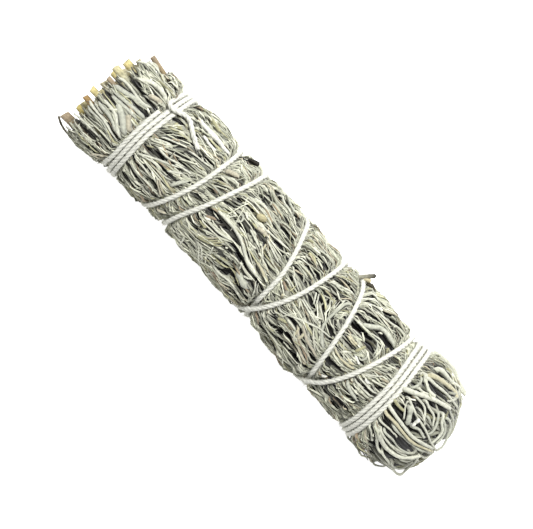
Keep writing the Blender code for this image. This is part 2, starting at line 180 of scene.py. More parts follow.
def mesh_of_tubes(name, grid, tint):
    """Closed tubes from points grid[tube, station, corner]: a four-cornered face between each two stations
    and corners, and one flat face over each end. Each point carries its tint, and the UV map runs once
    round a tube (u) and along it in millimetres (v), from a start of its own for each tube."""
    apart, end_radius = 3.7, 0.3
    tubes, stations, corners = grid.shape[:3]
    index = np.arange(tubes * stations * corners).reshape(tubes, stations, corners)
    here, beyond = index[:, :-1], index[:, 1:]
    sides = np.stack([here, np.roll(here, -1, 2), np.roll(beyond, -1, 2), beyond], -1)
    ends = np.stack([index[:, 0, ::-1], index[:, -1]], 1)
    face_corners = np.concatenate([sides.ravel(), ends.ravel()])
    sizes = np.concatenate([np.full(sides.size // 4, 4), np.full(ends.size // corners, corners)])
    mesh = bpy.data.meshes.new(name)
    mesh.vertices.add(index.size)
    mesh.vertices.foreach_set("co", ((grid.reshape(-1, 3) + FRAME_SHIFT) * MM).ravel())
    mesh.loops.add(len(face_corners))
    mesh.loops.foreach_set("vertex_index", face_corners)
    mesh.polygons.add(len(sizes))
    mesh.polygons.foreach_set("loop_start", np.cumsum(sizes) - sizes)
    mesh.polygons.foreach_set("use_smooth", np.repeat([True, False], [sides.size // 4, ends.size // corners]))
    mesh.update(calc_edges=True)
    colours = mesh.color_attributes.new(name="tint", type="FLOAT_COLOR", domain="POINT")
    tint = np.broadcast_to(tint, grid.shape)
    colours.data.foreach_set("color", np.concatenate([tint, np.ones_like(tint[..., :1])], -1).ravel())
    steps = np.linalg.norm(np.diff(grid.mean(2), axis=1), axis=-1)
    length = np.concatenate([np.zeros((tubes, 1)), np.cumsum(steps, 1)], 1) + apart * np.arange(tubes)[:, None]
    u = np.stack([np.arange(corners), np.arange(corners) + 1] * 2, -1)[:, [0, 1, 3, 2]] / corners
    u = np.broadcast_to(u, sides.shape)
    v = np.stack([length[:, :-1]] * 2 + [length[:, 1:]] * 2, -1)[:, :, None]
    side_uv = np.stack([u, np.broadcast_to(v, sides.shape)], -1)
    turn = np.arange(corners) * 2 * np.pi / corners
    disc = end_radius * np.stack([np.cos(turn), np.sin(turn)], -1)
    end_uv = disc + np.stack([0 * length[:, [0, -1]], length[:, [0, -1]]], -1)[:, :, None]
    uv = mesh.uv_layers.new(name="along_fibres")
    uv.data.foreach_set("uv", np.concatenate([side_uv.ravel(), end_uv.ravel()]))
    return mesh


def fibrous(name, roughness, sheen, grain, streak, bump):
    """A matt plant or cotton surface: its tint times a streaky noise that runs along the fibres, with a fine
    bump from the same noise. grain is the noise's scale across a piece, and streak how far it varies."""
    material = bpy.data.materials.new(name)
    material.use_nodes = True
    nodes, links = material.node_tree.nodes, material.node_tree.links
    shader, tint, place, stretched, noise, spread, shaded, relief = nodes["Principled BSDF"], *(
        nodes.new("ShaderNode" + kind)
        for kind in ("Attribute", "UVMap", "Mapping", "TexNoise", "MapRange", "VectorMath", "Bump")
    )
    tint.attribute_name = "tint"
    place.uv_map = "along_fibres"
    shaded.operation = "SCALE"
    for node, socket, value in (
        (shader, "Roughness", roughness), (shader, "Sheen Weight", sheen), (shader, "Sheen Roughness", 0.6),
        (shader, "Specular IOR Level", 0.25), (stretched, "Scale", (grain, 0.9, 1.0)),
        (noise, "Scale", 2.0), (noise, "Detail", 5.0), (spread, "From Min", 0.3), (spread, "From Max", 0.7),
        (spread, "To Min", 1.0 - streak), (spread, "To Max", 1.0 + 0.6 * streak),
        (relief, "Strength", bump), (relief, "Distance", 0.15 * MM),
    ):
        node.inputs[socket].default_value = value
    for giver, output, taker, socket in (
        (place, "UV", stretched, "Vector"), (stretched, "Vector", noise, "Vector"),
        (noise, "Fac", spread, "Value"), (tint, "Color", shaded, 0), (spread, "Result", shaded, "Scale"),
        (shaded, "Vector", shader, "Base Color"), (noise, "Fac", relief, "Height"),
        (relief, "Normal", shader, "Normal"),
    ):
        links.new(giver.outputs[output], taker.inputs[socket])
    return material


def piece(name, mesh, finish, slot, *nodes):
    """The object that holds this mesh. It stays at the origin, rides on the bunch and replaces these nodes."""
    mesh.materials.append(finish)
    shape = bpy.data.objects.new(name, mesh)
    bpy.context.scene.collection.objects.link(shape)
    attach(shape, "root")
    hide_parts(*nodes)


turning = np.arange(START_ANGLE, WOUND_END, 1.5)
wound_depth = STRING_RADIUS + pressed_in(turning)
knot = smooth_through(KNOT_AND_TAIL, 70)
string_x = np.concatenate([wind_place(turning), knot[:, 0]])
string_angle = np.concatenate([turning, knot[:, 1]])
string_depth = np.concatenate([wound_depth, STRING_RADIUS - knot[:, 2]])
string_path = on_bunch(string_x, string_angle, string_depth)
string_path[:, 2] = np.maximum(string_path[:, 2], STRING_RADIUS + 0.03)
_, string_across, string_out = crosswise(string_path[None], outward_of(string_path)[None])
string_run = np.concatenate([[0], np.cumsum(np.linalg.norm(np.diff(string_path, axis=0), axis=1))])


def plies():
    """Three plies: each follows the string's line at a fixed offset that turns once round it in every pitch."""
    start = 2 * np.pi * np.arange(3)[:, None] / 3
    phase = start + 2 * np.pi * string_run[None] / PLY_PITCH
    offset = PLY_OFFSET * (np.cos(phase)[..., None] * string_across + np.sin(phase)[..., None] * string_out)
    path = string_path[None] + offset
    _, across, out = crosswise(path, np.broadcast_to(string_out, path.shape))
    radius = PLY_RADIUS * (1 + 0.05 * np.sin(string_run * 1.7 + 2 * start))
    grid = path[:, :, None] + radius[..., None, None] * ring_round(7, across, out)
    grid[..., 2] = np.maximum(grid[..., 2], 0.01)
    return grid


def hairs(rng, count):
    """Loose fibres: each leaves the string's surface nearly along it and bends away from it as the square of
    the way along the fibre."""
    at = rng.integers(0, len(string_path), count)
    turn = rng.uniform(0, 2 * np.pi, (count, 1, 1))
    root_out = np.cos(turn) * string_across[0, at][:, None] + np.sin(turn) * string_out[0, at][:, None]
    along = unit(np.gradient(string_path, axis=0))[at][:, None] * rng.choice([-1, 1], (count, 1, 1))
    t = np.linspace(0, 1, 5)[None, :, None]
    length = rng.uniform(0.5, 1.7, (count, 1, 1))
    lift = rng.uniform(0.12, 0.5, (count, 1, 1))
    aside = np.cross(along, root_out) * rng.normal(0, 0.35, (count, 1, 1))
    away = t * along + lift * t**1.6 * root_out + t**2 * aside
    path = string_path[at][:, None] + 0.46 * root_out + length * away
    path[..., 2] = np.maximum(path[..., 2], 0.04)
    _, across, out = crosswise(path, np.broadcast_to(root_out, path.shape))
    radius = 0.025 * (1.15 - 0.6 * t)[..., None]
    return path[:, :, None] + radius * ring_round(3, across, out)


COTTON = (0.66, 0.66, 0.59)
cotton = fibrous("cotton_string", 0.92, 0.15, 5.0, 0.10, 0.35)
for name, grid in (("string_plies", plies()), ("string_fuzz", hairs(np.random.default_rng(3), 3800))):
    piece(name, mesh_of_tubes(name, grid, COTTON), cotton, "string", "string")

# The leaf bunch is many narrow dried leaves and thin twigs, laid mostly along the bunch and pressed
# together by the string. They are grey-green and felted on the light side, curl along their length, and
# lie in loose layers over a dark inside. The inside and the deeper leaves are painted dark as the shade
# between the leaves, partly also for the older leaves and stalks in there, and each leaf has painted
# shade on its edges and underneath.
LEAF_TINTS = np.array((  # share of the leaves, red, green, blue
    (0.44, 0.475, 0.48, 0.375),
    (0.26, 0.60, 0.60, 0.48),
    (0.16, 0.37, 0.38, 0.28),
    (0.08, 0.38, 0.37, 0.22),
    (0.03, 0.25, 0.20, 0.13),
    (0.03, 0.42, 0.38, 0.27),
))
TIP_START = 42.0
TIP_LENGTH = 8.3
TIP_SKIN = 12.0  # how much of the skin turns over at the end
CELL_X = 0.25
CELL_ANGLE = 1.5
PLACES = 49  # on each leaf's line before its stations are read from it
STRAND_STATIONS = 16
THIN_TWIGS = 300
FIELD_X = np.arange(-54.0, 56.0, CELL_X)
FIELD_ANGLE = np.arange(0.0, 360.0, CELL_ANGLE)
leaf_rng = np.random.default_rng(11)
evenly, normal = leaf_rng.uniform, leaf_rng.normal


def furrow_field():
    """How deep the string presses the leaves in, on a grid of x and angle: under each place of the string the
    string's own underside, and outside its width a smooth step up to nothing."""
    reach, wall, skin_radius, clearance = 1.35, 0.72, 11.2, 0.12
    field = np.zeros((len(FIELD_X), len(FIELD_ANGLE)))
    underside = np.maximum(string_depth + STRING_RADIUS + clearance, 0.0)
    for x, angle, bottom in zip(string_x, string_angle % 360, underside):
        rows = np.searchsorted(FIELD_X, x - reach - CELL_X) + np.arange(14)
        columns = (np.arange(-6, 7) + int(angle / CELL_ANGLE)) % len(FIELD_ANGLE)
        beside = (FIELD_ANGLE[columns] - angle + 180) % 360 - 180
        distance = np.hypot((FIELD_X[rows] - x)[:, None], np.radians(beside)[None] * skin_radius)
        fall = np.clip((reach - distance) / wall, 0, 1)
        patch = np.ix_(rows, columns)
        field[patch] = np.maximum(field[patch], bottom * fall * fall * (3 - 2 * fall))
    return field


FURROWS = furrow_field()


def furrow(x, angle):
    """The furrow field between the four nearest points of its grid."""
    row = np.clip((x - FIELD_X[0]) / CELL_X, 0, len(FIELD_X) - 1.001)
    column = (angle % 360) / CELL_ANGLE
    r, c = row.astype(int), column.astype(int) % len(FIELD_ANGLE)
    fr, fc = row - r, column - column.astype(int)
    nc = (c + 1) % len(FIELD_ANGLE)
    near = FURROWS[r, c] * (1 - fc) + FURROWS[r, nc] * fc
    far = FURROWS[r + 1, c] * (1 - fc) + FURROWS[r + 1, nc] * fc
    return near * (1 - fr) + far * fr


WAVES = np.stack([evenly(-1.1, 1.1, 16), leaf_rng.integers(1, 13, 16), evenly(0, 6.28, 16)])


def lumps(x, angle):
    """Low unevenness of the whole bunch: sixteen waves over x and the angle, added up."""
    along, around, phase = WAVES[:, :, None, None]
    return 0.085 * np.cos(along * x[None] + around * np.radians(angle)[None] + phase).sum(0)


def laid(s, angle, depth):
    """Points on the bunch at s along its skin. Past TIP_START the skin rounds the folded end: x follows a sine
    and the radius a power of the cosine of how far round it is."""
    q = np.clip((s - TIP_START) / TIP_SKIN, 0, 0.97) * np.pi / 2
    return on_bunch(np.minimum(s, TIP_START) + (TIP_LENGTH - depth) * np.sin(q), angle, depth, np.cos(q) ** 0.65)


def in_mm(rows):
    """The rows of a table in millimetres. In the table a row has a tint, unless it takes that of the row before
    or the table has none, then a width in hundredths, and then x and y of points along its line in tenths."""
    ready, tint = [], ()
    for row in rows:
        if isinstance(row[0], str):
            tint, row = row[:1], row[1:]
        ready.append((*tint, row[0] / 100, *((x / 10, y / 10) for x, y in zip(row[1::2], row[2::2]))))
    return tuple(ready)


SLITS = in_mm((  # dark gaps between the leaves on top
    (88, -470, 47, -439, 43, -400, 43, -372, 43), (49, -473, 28, -438, 26, -417, 27), (39, -463, 20, -443, 18),
    (49, -461, -9, -432, -11), (39, -420, -24, -399, -29), (39, -416, -49, -381, -52),
    (98, -446, -85, -415, -89), (39, -427, -72, -392, -72), (68, -395, 18, -385, 19), (39, -412, 18, -405, 16),
    (25, -447, 2, -422, 5), (49, -382, 33, -374, 35), (25, -394, 95, -377, 97), (39, -439, -107, -411, -103),
    (29, -326, 101, -297, 111), (29, -307, 83, -291, 85, -269, 83), (29, -333, 62, -313, 62),
    (29, -330, 6, -317, 14, -302, 21), (39, -309, -8, -286, -10), (39, -309, -14, -299, -16),
    (29, -341, -23, -323, -25), (29, -320, -37, -302, -41), (49, -288, -27, -253, -25),
    (39, -277, -39, -250, -49), (25, -342, -58, -313, -57, -274, -57), (39, -343, -73, -304, -75),
    (23, -339, -89, -295, -87), (29, -345, -99, -326, -101), (23, -273, 31, -243, 35), (25, -252, 50, -213, 50),
    (58, -273, 41, -255, 45), (39, -265, 27, -253, 33), (20, -272, -8, -253, -2), (49, -272, -27, -261, -23),
    (58, -242, -35, -234, -31), (35, -263, -45, -238, -46), (29, -249, 102, -241, 102),
    (23, -188, 59, -172, 63), (25, -196, 109, -186, 108), (25, -195, 96, -187, 97), (39, -200, -14, -193, -14),
    (39, -205, -39, -199, -39), (39, -163, -19, -150, -16, -124, -18), (20, -156, -10, -136, -8),
    (39, -136, -23, -123, -25), (25, -152, 21, -128, 25), (25, -126, -10, -113, -12),
    (25, -111, -18, -101, -18), (20, -93, -18, -78, -16), (20, -160, -35, -121, -37, -97, -31),
    (29, -186, -56, -133, -56), (29, -133, -67, -113, -64), (39, -98, -55, -92, -57), (39, -84, -55, -74, -57),
    (39, -88, -45, -58, -37, -45, -35), (29, -74, -31, -58, -30), (29, -107, 24, -91, 13, -74, 12, -54, 10),
    (23, -101, 8, -78, 6), (29, -117, 65, -102, 73, -86, 77, -69, 77), (39, -101, 47, -86, 43),
    (29, -63, 85, -41, 83), (49, -103, 101, -93, 111), (49, -67, 23, -41, 23), (39, -71, -77, -55, -79),
    (23, -191, -93, -179, -95), (29, -154, -93, -138, -94), (25, -77, 115, -57, 101, -18, 92),
    (25, -33, 65, -14, 61), (25, -76, 18, -51, 10), (29, -53, -16, -41, -19), (39, -78, -31, -58, -31),
    (39, -10, -29, 11, -33), (29, -23, -39, 15, -41), (49, -12, -49, 4, -57), (49, -33, -49, -14, -57),
    (25, -78, -63, -47, -66), (39, -49, -72, 3, -75), (39, 0, -77, 17, -81), (29, -24, -88, 9, -90),
    (25, 19, 76, 38, 77), (39, 45, 76, 56, 77), (29, 71, 75, 79, 75), (35, 64, 85, 84, 82),
    (39, 121, 85, 141, 82), (39, 65, 54, 78, 54), (23, 20, 44, 30, 45), (25, 47, 49, 59, 50, 76, 44),
    (29, 54, 27, 63, 27), (39, 101, 57, 109, 57), (39, 100, 49, 119, 49), (39, 106, 40, 114, 40),
    (39, 107, 25, 123, 25), (39, 100, 9, 109, 9), (25, 84, -1, 99, -1), (39, 110, -45, 131, -45),
    (29, 52, -79, 66, -82), (35, 73, -95, 95, -94), (23, 96, -90, 138, -90, 171, -85),
    (43, 97, -102, 123, -103, 133, -108), (23, 96, -77, 133, -75, 157, -76), (35, 176, 72, 197, 73, 219, 79),
    (23, 206, 87, 238, 90), (35, 221, 100, 266, 98), (29, 179, 101, 187, 101),
    (47, 178, 64, 207, 58, 227, 66, 249, 69, 286, 70), (35, 192, 43, 218, 46), (47, 218, 45, 251, 34),
    (35, 233, 57, 252, 63, 268, 59), (49, 268, 61, 273, 55), (35, 295, 55, 306, 51), (29, 289, 45, 304, 49),
    (43, 172, -14, 190, -14), (39, 220, 8, 231, 6), (39, 249, 4, 260, 0), (49, 210, -42, 216, -45),
    (49, 220, -47, 236, -45), (25, 226, -41, 246, -41), (39, 290, -24, 296, -24), (29, 305, -12, 328, -12),
    (23, 271, -30, 328, -27), (29, 269, -47, 293, -51), (35, 280, -63, 301, -59), (29, 253, -75, 270, -72),
    (49, 240, -86, 271, -85, 295, -82), (29, 244, -92, 258, -93), (43, 272, -91, 288, -95),
    (39, 187, -66, 199, -69), (29, 192, -87, 202, -87), (39, 347, 99, 376, 103, 406, 110, 420, 109),
    (23, 347, 93, 375, 95, 401, 99), (35, 393, 79, 409, 84, 426, 83, 444, 85), (29, 388, 67, 403, 68),
    (35, 417, 69, 436, 76, 452, 79), (29, 412, 75, 424, 76), (55, 362, 23, 380, 35, 400, 41, 423, 49, 439, 54),
    (29, 439, 53, 464, 48), (39, 364, 71, 375, 57, 383, 53), (58, 361, 53, 363, 47),
    (49, 413, 27, 422, 16, 420, 10), (39, 379, 10, 395, -10), (78, 402, 6, 414, -14),
    (58, 362, -12, 379, -14, 399, -17), (23, 376, -27, 409, -26), (29, 362, -35, 399, -36, 448, -33, 473, -23),
    (55, 365, -53, 433, -52), (55, 404, -41, 444, -41), (58, 428, -53, 447, -51),
    (58, 405, -83, 432, -83, 455, -75), (68, 365, -73, 383, -85, 404, -95, 418, -93), (68, 409, -99, 438, -101),
    (39, 436, 31, 448, 25), (39, 473, 21, 482, 21), (90, -182, 113, -160, 119),
))
STRANDS = in_mm((  # leaves and twigs that lie on top, with their tints
    ("pale", 58, -469, 79, -452, 87, -423, 87), (58, -457, 92, -422, 92),
    (117, -444, 57, -425, 69, -392, 75, -372, 73), ("tan", 117, -404, 51, -387, 57, -374, 61),
    ("pale", 68, -469, 31, -448, 34, -399, 31, -380, 37), ("grey", 98, -463, 14, -438, 19, -409, 27, -382, 31),
    (88, -463, 6, -428, 8, -399, 12, -375, 14), (78, -451, -4, -418, 0, -381, 2),
    (156, -432, -4, -408, -16, -378, -39), ("tan", 136, -404, -4, -389, -18, -376, -29),
    ("pale", 78, -459, -21, -424, -21, -399, -37, -379, -49), ("grey", 78, -460, -31, -419, -35, -390, -47),
    ("pale", 58, -474, -43, -439, -47, -381, -57), ("grey", 58, -469, -53, -420, -55, -378, -67),
    ("pale", 49, -483, -83, -452, -79, -403, -81), (29, -473, -91, -444, -95, -417, -103),
    ("tan", 49, -408, -113, -389, -103, -375, -99), (39, -408, -107, -390, -107, -376, -105),
    ("dark", 25, -332, 107, -314, 117, -300, 121), ("olive", 136, -295, 107, -254, 111),
    ("white", 117, -305, 93, -256, 91), ("tan", 68, -334, 81, -306, 77), ("olive", 98, -330, 53, -309, 53),
    ("pale", 39, -334, 0, -317, 10, -300, 18), (39, -327, 12, -311, 21, -292, 29),
    (49, -321, -5, -292, -6, -272, 0, -249, 8), (43, -344, -51, -321, -35, -302, -25, -272, -10, -249, 4),
    (39, -331, -41, -302, -33, -284, -33), (39, -342, -53, -309, -53, -273, -55),
    (49, -343, -69, -294, -69, -255, -67), (39, -273, 33, -244, 39, -209, 47),
    ("white", 117, -276, 89, -246, 89, -213, 91), (78, -275, 75, -235, 73),
    ("pale", 49, -272, -4, -253, 2, -229, 8), (49, -272, -25, -257, -14, -243, -4),
    ("grey", 78, -247, -39, -237, -21, -227, -6), ("tan", 39, -273, -49, -254, -61, -239, -71),
    (39, -273, -43, -254, -55, -231, -65), ("brown", 58, -276, -95, -257, -101),
    ("tan", 58, -236, -93, -222, -87, -212, -83), (117, -194, 65, -180, 69, -166, 69),
    ("pale", 39, -191, 55, -153, 61, -78, 59, -49, 53), ("brown", 39, -185, 19, -171, 19),
    (68, -156, -29, -146, -23, -136, -19), ("pale", 78, -156, -4, -117, -2, -78, -8, -39, -27, -10, -35, 12, -36),
    (49, -160, -31, -121, -33, -97, -27, -82, -23),
    ("olive", 58, -190, -77, -165, -75, -143, -67, -123, -57, -111, -43),
    (39, -177, -77, -149, -71, -125, -59, -103, -35), (39, -165, -75, -141, -67, -117, -57, -97, -33),
    (39, -157, -73, -129, -65, -109, -55, -90, -31), ("tan", 31, -161, -73, -133, -65, -117, -51, -109, -39),
    ("olive", 43, -153, -71, -125, -65, -104, -55, -92, -43),
    ("pale", 29, -139, -75, -118, -83, -99, -99, -87, -107), (29, -133, -75, -112, -81, -93, -95),
    (39, -102, -59, -98, -69, -96, -77), (49, -117, 31, -78, 37, -39, 42, 8, 47), (39, 20, 48, 43, 53, 64, 57),
    ("grey", 39, -119, 23, -105, 24, -101, 14, -111, 6), ("pale", 39, -124, 0, -119, 10, -113, 18),
    (78, -118, 69, -98, 69, -78, 67), ("grey", 58, -83, 115, -59, 107, -41, 99),
    ("pale", 49, -89, 109, -63, 99, -39, 93), ("tan", 98, -72, 31, -58, 33, -43, 33),
    ("brown", 78, -67, -95, -55, -91), ("pale", 29, -73, -105, -63, -93), (39, -157, -87, -152, -97, -150, -105),
    (49, -41, 29, -16, 21, 9, 14), (49, -78, 18, -58, 12, -39, 6), ("straw", 68, -23, -16, -4, -21, 17, -29),
    ("pale", 49, -79, -85, -24, -83, 20, -91), ("grey", 156, -35, -61, -16, -63, 4, -67),
    ("pale", 39, -20, -55, -10, -51, -2, -45), (39, -39, -39, -35, -55), (29, 4, -45, 16, -59, 20, -71),
    (29, 10, -45, 22, -59, 25, -71), ("olive", 78, 33, 71, 47, 71, 61, 65),
    ("straw", 49, -35, 21, -33, 12, -32, 2), ("pale", 39, 39, 0, 45, 3, 52, 0),
    ("brown", 58, 41, -4, 51, -8, 58, -12), ("straw", 58, 58, -21, 62, -33), ("pale", 39, 43, 18, 60, 12, 78, 4),
    (39, 89, 2, 121, -3, 156, -10), (39, 89, -2, 121, -8, 152, -14), (39, 66, -53, 99, -39, 146, -18, 189, -10),
    (39, 99, 29, 107, 18, 113, 8), (39, 105, 31, 113, 19, 119, 10), (49, 106, 63, 121, 71, 139, 78, 157, 81),
    (29, 49, -77, 59, -83, 71, -91), (29, 55, -73, 65, -81, 77, -87), ("brown", 49, 45, -91, 57, -92, 73, -98),
    ("olive", 68, 86, -61, 96, -55, 105, -53), ("straw", 49, 127, -43, 131, -51, 133, -59),
    (68, 142, -39, 143, -51, 140, -61),
    ("grey", 68, 165, 65, 155, 57, 153, 33, 153, 10, 158, -10, 176, -29, 192, -41),
    ("pale", 39, 149, 61, 150, 49, 150, 29), ("tan", 58, 127, -33, 156, -47, 196, -61),
    (58, 121, -43, 153, -61, 196, -73), ("brown", 49, 137, -55, 165, -69, 196, -79),
    ("tan", 49, 129, -61, 161, -75, 192, -81), ("pale", 49, 164, 98, 182, 105, 212, 112),
    (39, 169, 89, 190, 99, 214, 109), (39, 175, 81, 197, 93, 227, 99), ("tan", 49, 199, 100, 252, 110, 290, 100),
    ("pale", 39, 193, 83, 233, 93, 288, 99), ("grey", 117, 206, 54, 219, 61, 233, 71, 251, 75, 284, 75),
    ("pale", 39, 225, 53, 256, 57, 267, 43, 270, 21), ("grey", 39, 228, 49, 250, 51, 261, 39, 265, 23),
    ("pale", 39, 195, 49, 211, 51, 230, 53), ("olive", 78, 235, 6, 239, 18, 242, 29),
    ("straw", 49, 202, 20, 218, 18, 233, 18), (39, 202, 16, 218, 14, 231, 14),
    ("white", 58, 239, 2, 249, -2, 261, -6), ("grey", 39, 249, 19, 245, 12, 249, 4, 257, 4, 259, 16, 253, 21),
    ("straw", 49, 200, -19, 224, -25, 255, -21, 264, -16), (58, 235, -14, 245, -16, 255, -12),
    ("white", 68, 288, -16, 294, -18, 301, -16), ("pale", 39, 278, -12, 294, 0, 313, 18),
    (39, 274, -16, 288, -8, 305, 4), (39, 273, -33, 302, -33, 327, -31), (39, 272, -23, 302, -23, 327, -21),
    ("grey", 78, 267, -47, 289, -53, 311, -57), ("olive", 68, 274, 61, 281, 55),
    ("white", 49, 226, -75, 235, -70), ("pale", 39, 174, -107, 202, -113, 234, -111),
))
TINTS = {
    "white": (0.66, 0.66, 0.59),
    "pale": (0.55, 0.555, 0.455),
    "grey": (0.43, 0.44, 0.36),
    "straw": (0.49, 0.46, 0.31),
    "tan": (0.43, 0.40, 0.30),
    "olive": (0.35, 0.34, 0.20),
    "brown": (0.27, 0.21, 0.14),
    "dark": (0.07, 0.06, 0.04),
}


def straight_parts(rows):
    """Where each straight part between two points of these rows starts and ends, and the width of its row."""
    starts = np.concatenate([np.array(points)[:-1] for _, *points in rows])
    ends = np.concatenate([np.array(points)[1:] for _, *points in rows])
    return starts, ends, np.repeat([row[0] for row in rows], [len(row) - 2 for row in rows])


SLIT_PARTS = straight_parts(SLITS)
GRAIN_PARTS = straight_parts(SLITS + tuple(row[1:] for row in STRANDS))


def flow(s, angle):
    """The heading that the leaves share at each place, in degrees. On top it is the mean direction of the slits
    and strands near it, weighted by a bell curve of their distance, with a light pull along the bunch. Six low
    waves are added all round."""
    start, end, _ = GRAIN_PARTS
    middle, part = (start + end) / 2, end - start
    twice = 2 * np.arctan2(-part[:, 1], part[:, 0])
    y = bunch_middle(s) + bunch_half_width(s) * np.cos(np.radians(angle))
    near = np.exp(-((s - middle[:, 0]) ** 2 + (y - middle[:, 1]) ** 2) / 8) * np.linalg.norm(part, axis=1)
    near = near * np.clip(2 * np.sin(np.radians(angle)), 0, 1)
    shared = np.arctan2((near * np.sin(twice)).sum(1), (near * np.cos(twice)).sum(1) + 0.4) / 2
    along, around, phase = WAVES[:, :6, None, None]
    waves = np.cos(0.35 * along * s[None] + around * np.radians(angle)[None] / 2 + phase).sum(0)
    return np.degrees(shared)[:, None] + 3.2 * waves


def leaf_lines(count, first, last, depths, lengths, slants, starts=None):
    """Lines for leaves, as s, angle and depth at PLACES places: each starts at random, follows the shared heading
    with a slant and a slow wave of its own, and dips to its root at the start. One that would pass the end
    of the bunch is moved back along it."""
    t = np.linspace(0, 1, PLACES)[None]
    one = (count, 1)
    length = evenly(*lengths, one)
    kind = evenly(0, 1, one)
    slant = np.where(kind < 0.68, slants[0], np.where(kind < 0.92, slants[1], slants[2]))
    own = normal(0, 1, one) * slant + normal(0, 7, one) * (t - 0.5)
    own += evenly(0.5, 3.5, one) * np.sin(6.28 * (t * evenly(0.6, 1.8, one) + evenly(0, 1, one)))
    way = leaf_rng.choice([-1, 1], one)
    if starts is None:
        starts = evenly(first, last, one), evenly(0, 360, one)
    s, angle = [np.repeat(start, PLACES, 1) for start in starts]
    step, skin_radius = length / (PLACES - 1), 11.3
    for place in range(0, PLACES - 1, 8):
        after = slice(place + 1, place + 9)
        heading = np.radians(flow(s[:, [place]], angle[:, [place]]) + own[:, after])
        s[:, after] = s[:, [place]] + way * np.cumsum(step * np.cos(heading), 1)
        turned = np.degrees(np.cumsum(step * np.sin(heading), 1) / skin_radius)
        angle[:, after] = angle[:, [place]] + way * turned
    s = s + np.clip(evenly(first, first + 3.0, one) - s.min(1, keepdims=True), 0, None)
    s = s - np.clip(s.max(1, keepdims=True) - evenly(last - 2.5, last + 1.5, one), 0, None)
    depth = evenly(*depths, one) + 0.9 * np.clip(1 - t / 0.22, 0, 1) ** 2
    depth = depth + evenly(-0.15, 0.45, one) * np.clip((t - 0.7) / 0.3, 0, 1) ** 2
    depth = depth + evenly(0, 0.14, one) * np.sin(6.28 * (t * evenly(1, 2.5, one) + kind))
    return [s, angle, depth]


def in_a_gap(s, angle, reach):
    """Whether each line, read at 13 places, comes nearer to the inner third of a slit than its reach, on top,
    or lies in the open corner of the cut end, where one stalk stands alone."""
    place = laid(s[:, ::4], angle[:, ::4], 0.3)
    start, end, width = SLIT_PARTS
    part = end - start
    aside = place[:, :, None, :2] - start
    share = np.clip((aside * part).sum(-1) / (part**2).sum(-1), 0, 1)
    apart = np.linalg.norm(aside - share[..., None] * part, axis=-1)
    near = (apart < 0.34 * width + reach[:, :, None]) & (place[..., 2] > AXIS_HEIGHT + 1)[..., None]
    corner = (place[..., 0] < -42.2) & (place[..., 1] > 9.4)
    return near.any((1, 2)) | corner.any(1)


def clear_lines(width, first, last, depths, lengths, slants, keep_off=0.2):
    """Leaf lines that stay out of the gaps: one that doesn't is drawn again near the same place, shorter each
    time, and after three tries it is left out. The widths of those that stay go with them."""
    lines = leaf_lines(len(width), first, last, depths, lengths, slants)
    for share in (0.7, 0.45, 0.3):
        wrong = in_a_gap(lines[0], lines[1], keep_off * width)
        spread = (0.6, 3.0)  # in s and in angle
        starts = [line[wrong, :1] + normal(0, far, (wrong.sum(), 1)) for line, far in zip(lines, spread)]
        shorter = [share * length for length in lengths]
        again = leaf_lines(wrong.sum(), first, last, depths, shorter, slants, starts)
        for line, drawn in zip(lines, again):
            line[wrong] = drawn
    stays = ~in_a_gap(lines[0], lines[1], keep_off * width)
    return [line[stays] for line in lines], width[stays]


def stationed(s, angle, depth, stations):
    """The lines read at fewer places, which crowd together where they cross a furrow, with the furrow and the
    lumps added to their depth. The depth without them comes last."""
    weight = np.cumsum(1 + 5.5 * np.clip(furrow(s, angle), 0, 1), 1)
    weight = (weight - weight[:, :1]) / (weight[:, -1:] - weight[:, :1])
    wanted = np.linspace(0, 1, stations)
    read = [np.stack([np.interp(wanted, w, row) for w, row in zip(weight, rows)]) for rows in (s, angle, depth)]
    s, angle, depth = read
    deep = furrow(s, angle)
    pressed = np.maximum(depth, (deep + np.clip(deep, 0, 0.15) + 0.3 * depth) * (deep > 0))
    return s, angle, pressed + lumps(s, angle) * (1 - np.clip(deep, 0, 1)), depth


def painted_depth_shade(tint, depth, lightest=1.14, fall=0.86, darkest=0.05):
    """Painted shade: leaves lose brightness with their depth, in a straight line down to the darkest, for the
    little light that reaches them, and partly because the older leaves are inside."""
    return tint * np.clip(lightest - fall * depth, darkest, lightest)[..., None, None]


def strips(path, width, thickness, curl, roll):
    """Narrow leaves: a five-cornered section, flat below and humped above, whose edges bend up or down with
    the square of the way across, carried along each path and rolled about it."""
    stations = path.shape[1]
    t = np.linspace(0, 1, stations)[None]
    along, across, out = crosswise(path, outward_of(path))
    turn = np.radians(roll)[..., None]
    across, out = np.cos(turn) * across + np.sin(turn) * out, np.cos(turn) * out - np.sin(turn) * across
    taper = np.clip(0.25 + t / 0.12, 0, 1) ** 0.7 * np.clip(0.12 + (1 - t) / 0.3, 0, 1) ** 0.8
    half = 0.5 * width * taper
    sideways = np.array((1.0, 0.42, -0.42, -1.0, 0.0))
    height = np.array((0.0, 1.0, 1.0, 0.0, -0.8))
    rise = thickness[..., None] * np.clip(taper, 0.4, 1)[..., None] * height / 2
    rise += curl[..., None] * half[..., None] * sideways**2
    aside = half[..., None] * sideways
    grid = path[:, :, None] + aside[..., None] * across[:, :, None] + rise[..., None] * out[:, :, None]
    grid += normal(0, 0.035, grid.shape)
    grid[..., 2] = np.maximum(grid[..., 2], 0.015)
    return grid


